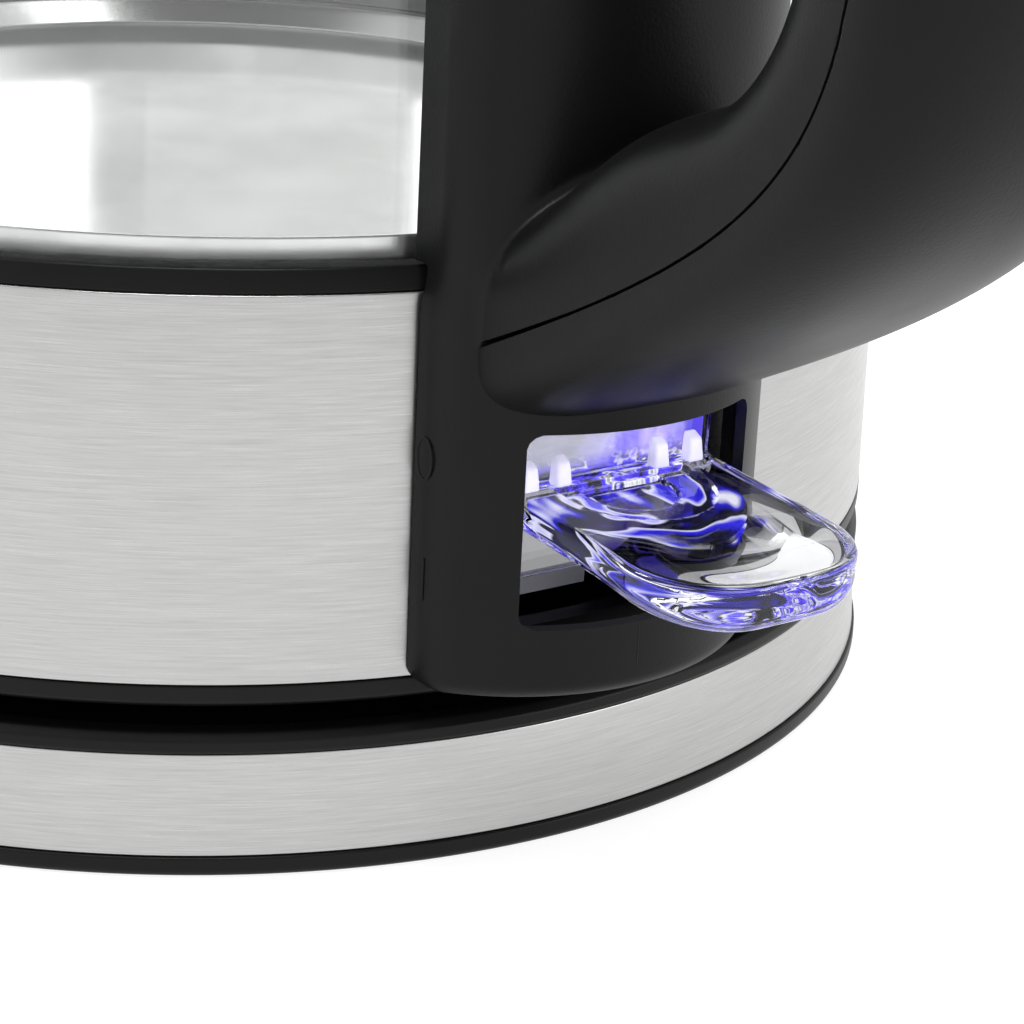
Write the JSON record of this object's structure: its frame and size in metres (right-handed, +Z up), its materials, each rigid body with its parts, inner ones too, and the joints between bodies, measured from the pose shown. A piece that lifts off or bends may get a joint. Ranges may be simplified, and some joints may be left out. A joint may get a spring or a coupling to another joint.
{
  "type": "electric kettle",
  "caption": "Cordless glass electric kettle with brushed steel waist and base, black spout, lid and handle, and a clear lit switch paddle under the handle.",
  "frame": {"origin": "on the table under the middle of the base", "axes": "+Z up, +X towards the handle, the spout towards -X"},
  "size_m": [0.2329, 0.16, 0.224],
  "materials": {
    "black_plastic": "satin, fine moulded grain",
    "grey_plastic": "satin",
    "brushed_steel": "brushed round the body",
    "plain_steel": "smooth",
    "rubber": "matte",
    "brass": "satin",
    "glass": "polished",
    "clear_plastic": "polished",
    "silicone": "matte",
    "white_plastic": "satin",
    "aluminium": "cast",
    "element_sheath": "oxidised",
    "red_plastic": "satin",
    "white_wire": "satin",
    "circuit_board": "satin",
    "blue_lamp": "clear blue, lit"
  },
  "bodies": {
    "base": {"base_cover": "black_plastic", "base_feet": "rubber", "base_band": "brushed_steel", "base_deck": "black_plastic", "base_screws": "plain_steel", "base_socket": "black_plastic", "base_contacts": "brass", "cord_gland": "black_plastic"},
    "coupler": {"collector_ring": "brass"},
    "jug": {"jug_floor": "black_plastic", "jug_floor_screws": "plain_steel", "jug_band": "brushed_steel", "jug_chassis": "black_plastic", "jug_collar": "black_plastic", "glass_body": "glass", "plate_seal": "silicone", "heater_plate": "plain_steel", "heat_spreader": "aluminium", "heating_element": "element_sheath", "thermostat": "white_plastic", "bimetal_discs": "brass", "jug_plug": "black_plastic", "centre_pin": "brass", "element_leads": "white_wire", "contact_block": "white_plastic", "switch_wires": "red_plastic", "handle_housing": "black_plastic", "handle_cover": "black_plastic", "handle_screws": "plain_steel", "steam_tube": "white_plastic", "steam_bimetal": "brass", "switch_bracket": "black_plastic", "switch_pin": "plain_steel", "led_board": "circuit_board", "leds": "blue_lamp", "top_seal": "silicone", "top_collar": "black_plastic", "spout_lip": "black_plastic", "hinge_pin": "plain_steel", "button_spring": "plain_steel"},
    "switch": {"switch_paddle": "clear_plastic"},
    "slider": {"contact_slider": "red_plastic"},
    "filter": {"spout_filter": "black_plastic", "filter_mesh": "plain_steel"},
    "lid": {"lid_shell": "black_plastic", "lid_disc": "brushed_steel", "lid_liner": "grey_plastic", "lid_seal": "silicone"},
    "button": {"lid_button": "black_plastic"},
    "latch": {"lid_latch": "white_plastic"}
  },
  "joints": [
    {"name": "jug_lift", "type": "slide", "parent": "base", "child": "coupler", "axis": [0, 0, 1], "range_m": [0, 0.05]},
    {"name": "jug_turn", "type": "hinge", "parent": "coupler", "child": "jug", "pos_m": [0, 0, 0.02], "axis": [0, 0, 1], "continuous": true},
    {"name": "switch_tilt", "type": "hinge", "parent": "jug", "child": "switch", "pos_m": [0.074, 0, 0.0377], "axis": [0, -1, 0], "range_deg": [0, 14]},
    {"name": "contact_slide", "type": "slide", "parent": "jug", "child": "slider", "axis": [0, 0, 1], "range_m": [-0.0028, 0.0002]},
    {"name": "filter_lift", "type": "slide", "parent": "jug", "child": "filter", "axis": [0, 0, 1], "range_m": [0, 0.03]},
    {"name": "lid_hinge", "type": "hinge", "parent": "jug", "child": "lid", "pos_m": [0.07, 0, 0.211], "axis": [0, 1, 0], "range_deg": [0, 80]},
    {"name": "button_press", "type": "slide", "parent": "jug", "child": "button", "axis": [0, 0, -1], "range_m": [0, 0.0025], "stiffness_N_per_m": 300, "springref_m": -0.004, "deforming": ["button_spring"]},
    {"name": "latch_slide", "type": "slide", "parent": "jug", "child": "latch", "axis": [1, 0, 0], "range_m": [0, 0.0026]}
  ],
  "couplings": [
    {"joint": "contact_slide", "follows": "switch_tilt", "m_per_rad": -0.011},
    {"joint": "latch_slide", "follows": "button_press", "ratio": 1}
  ]
}
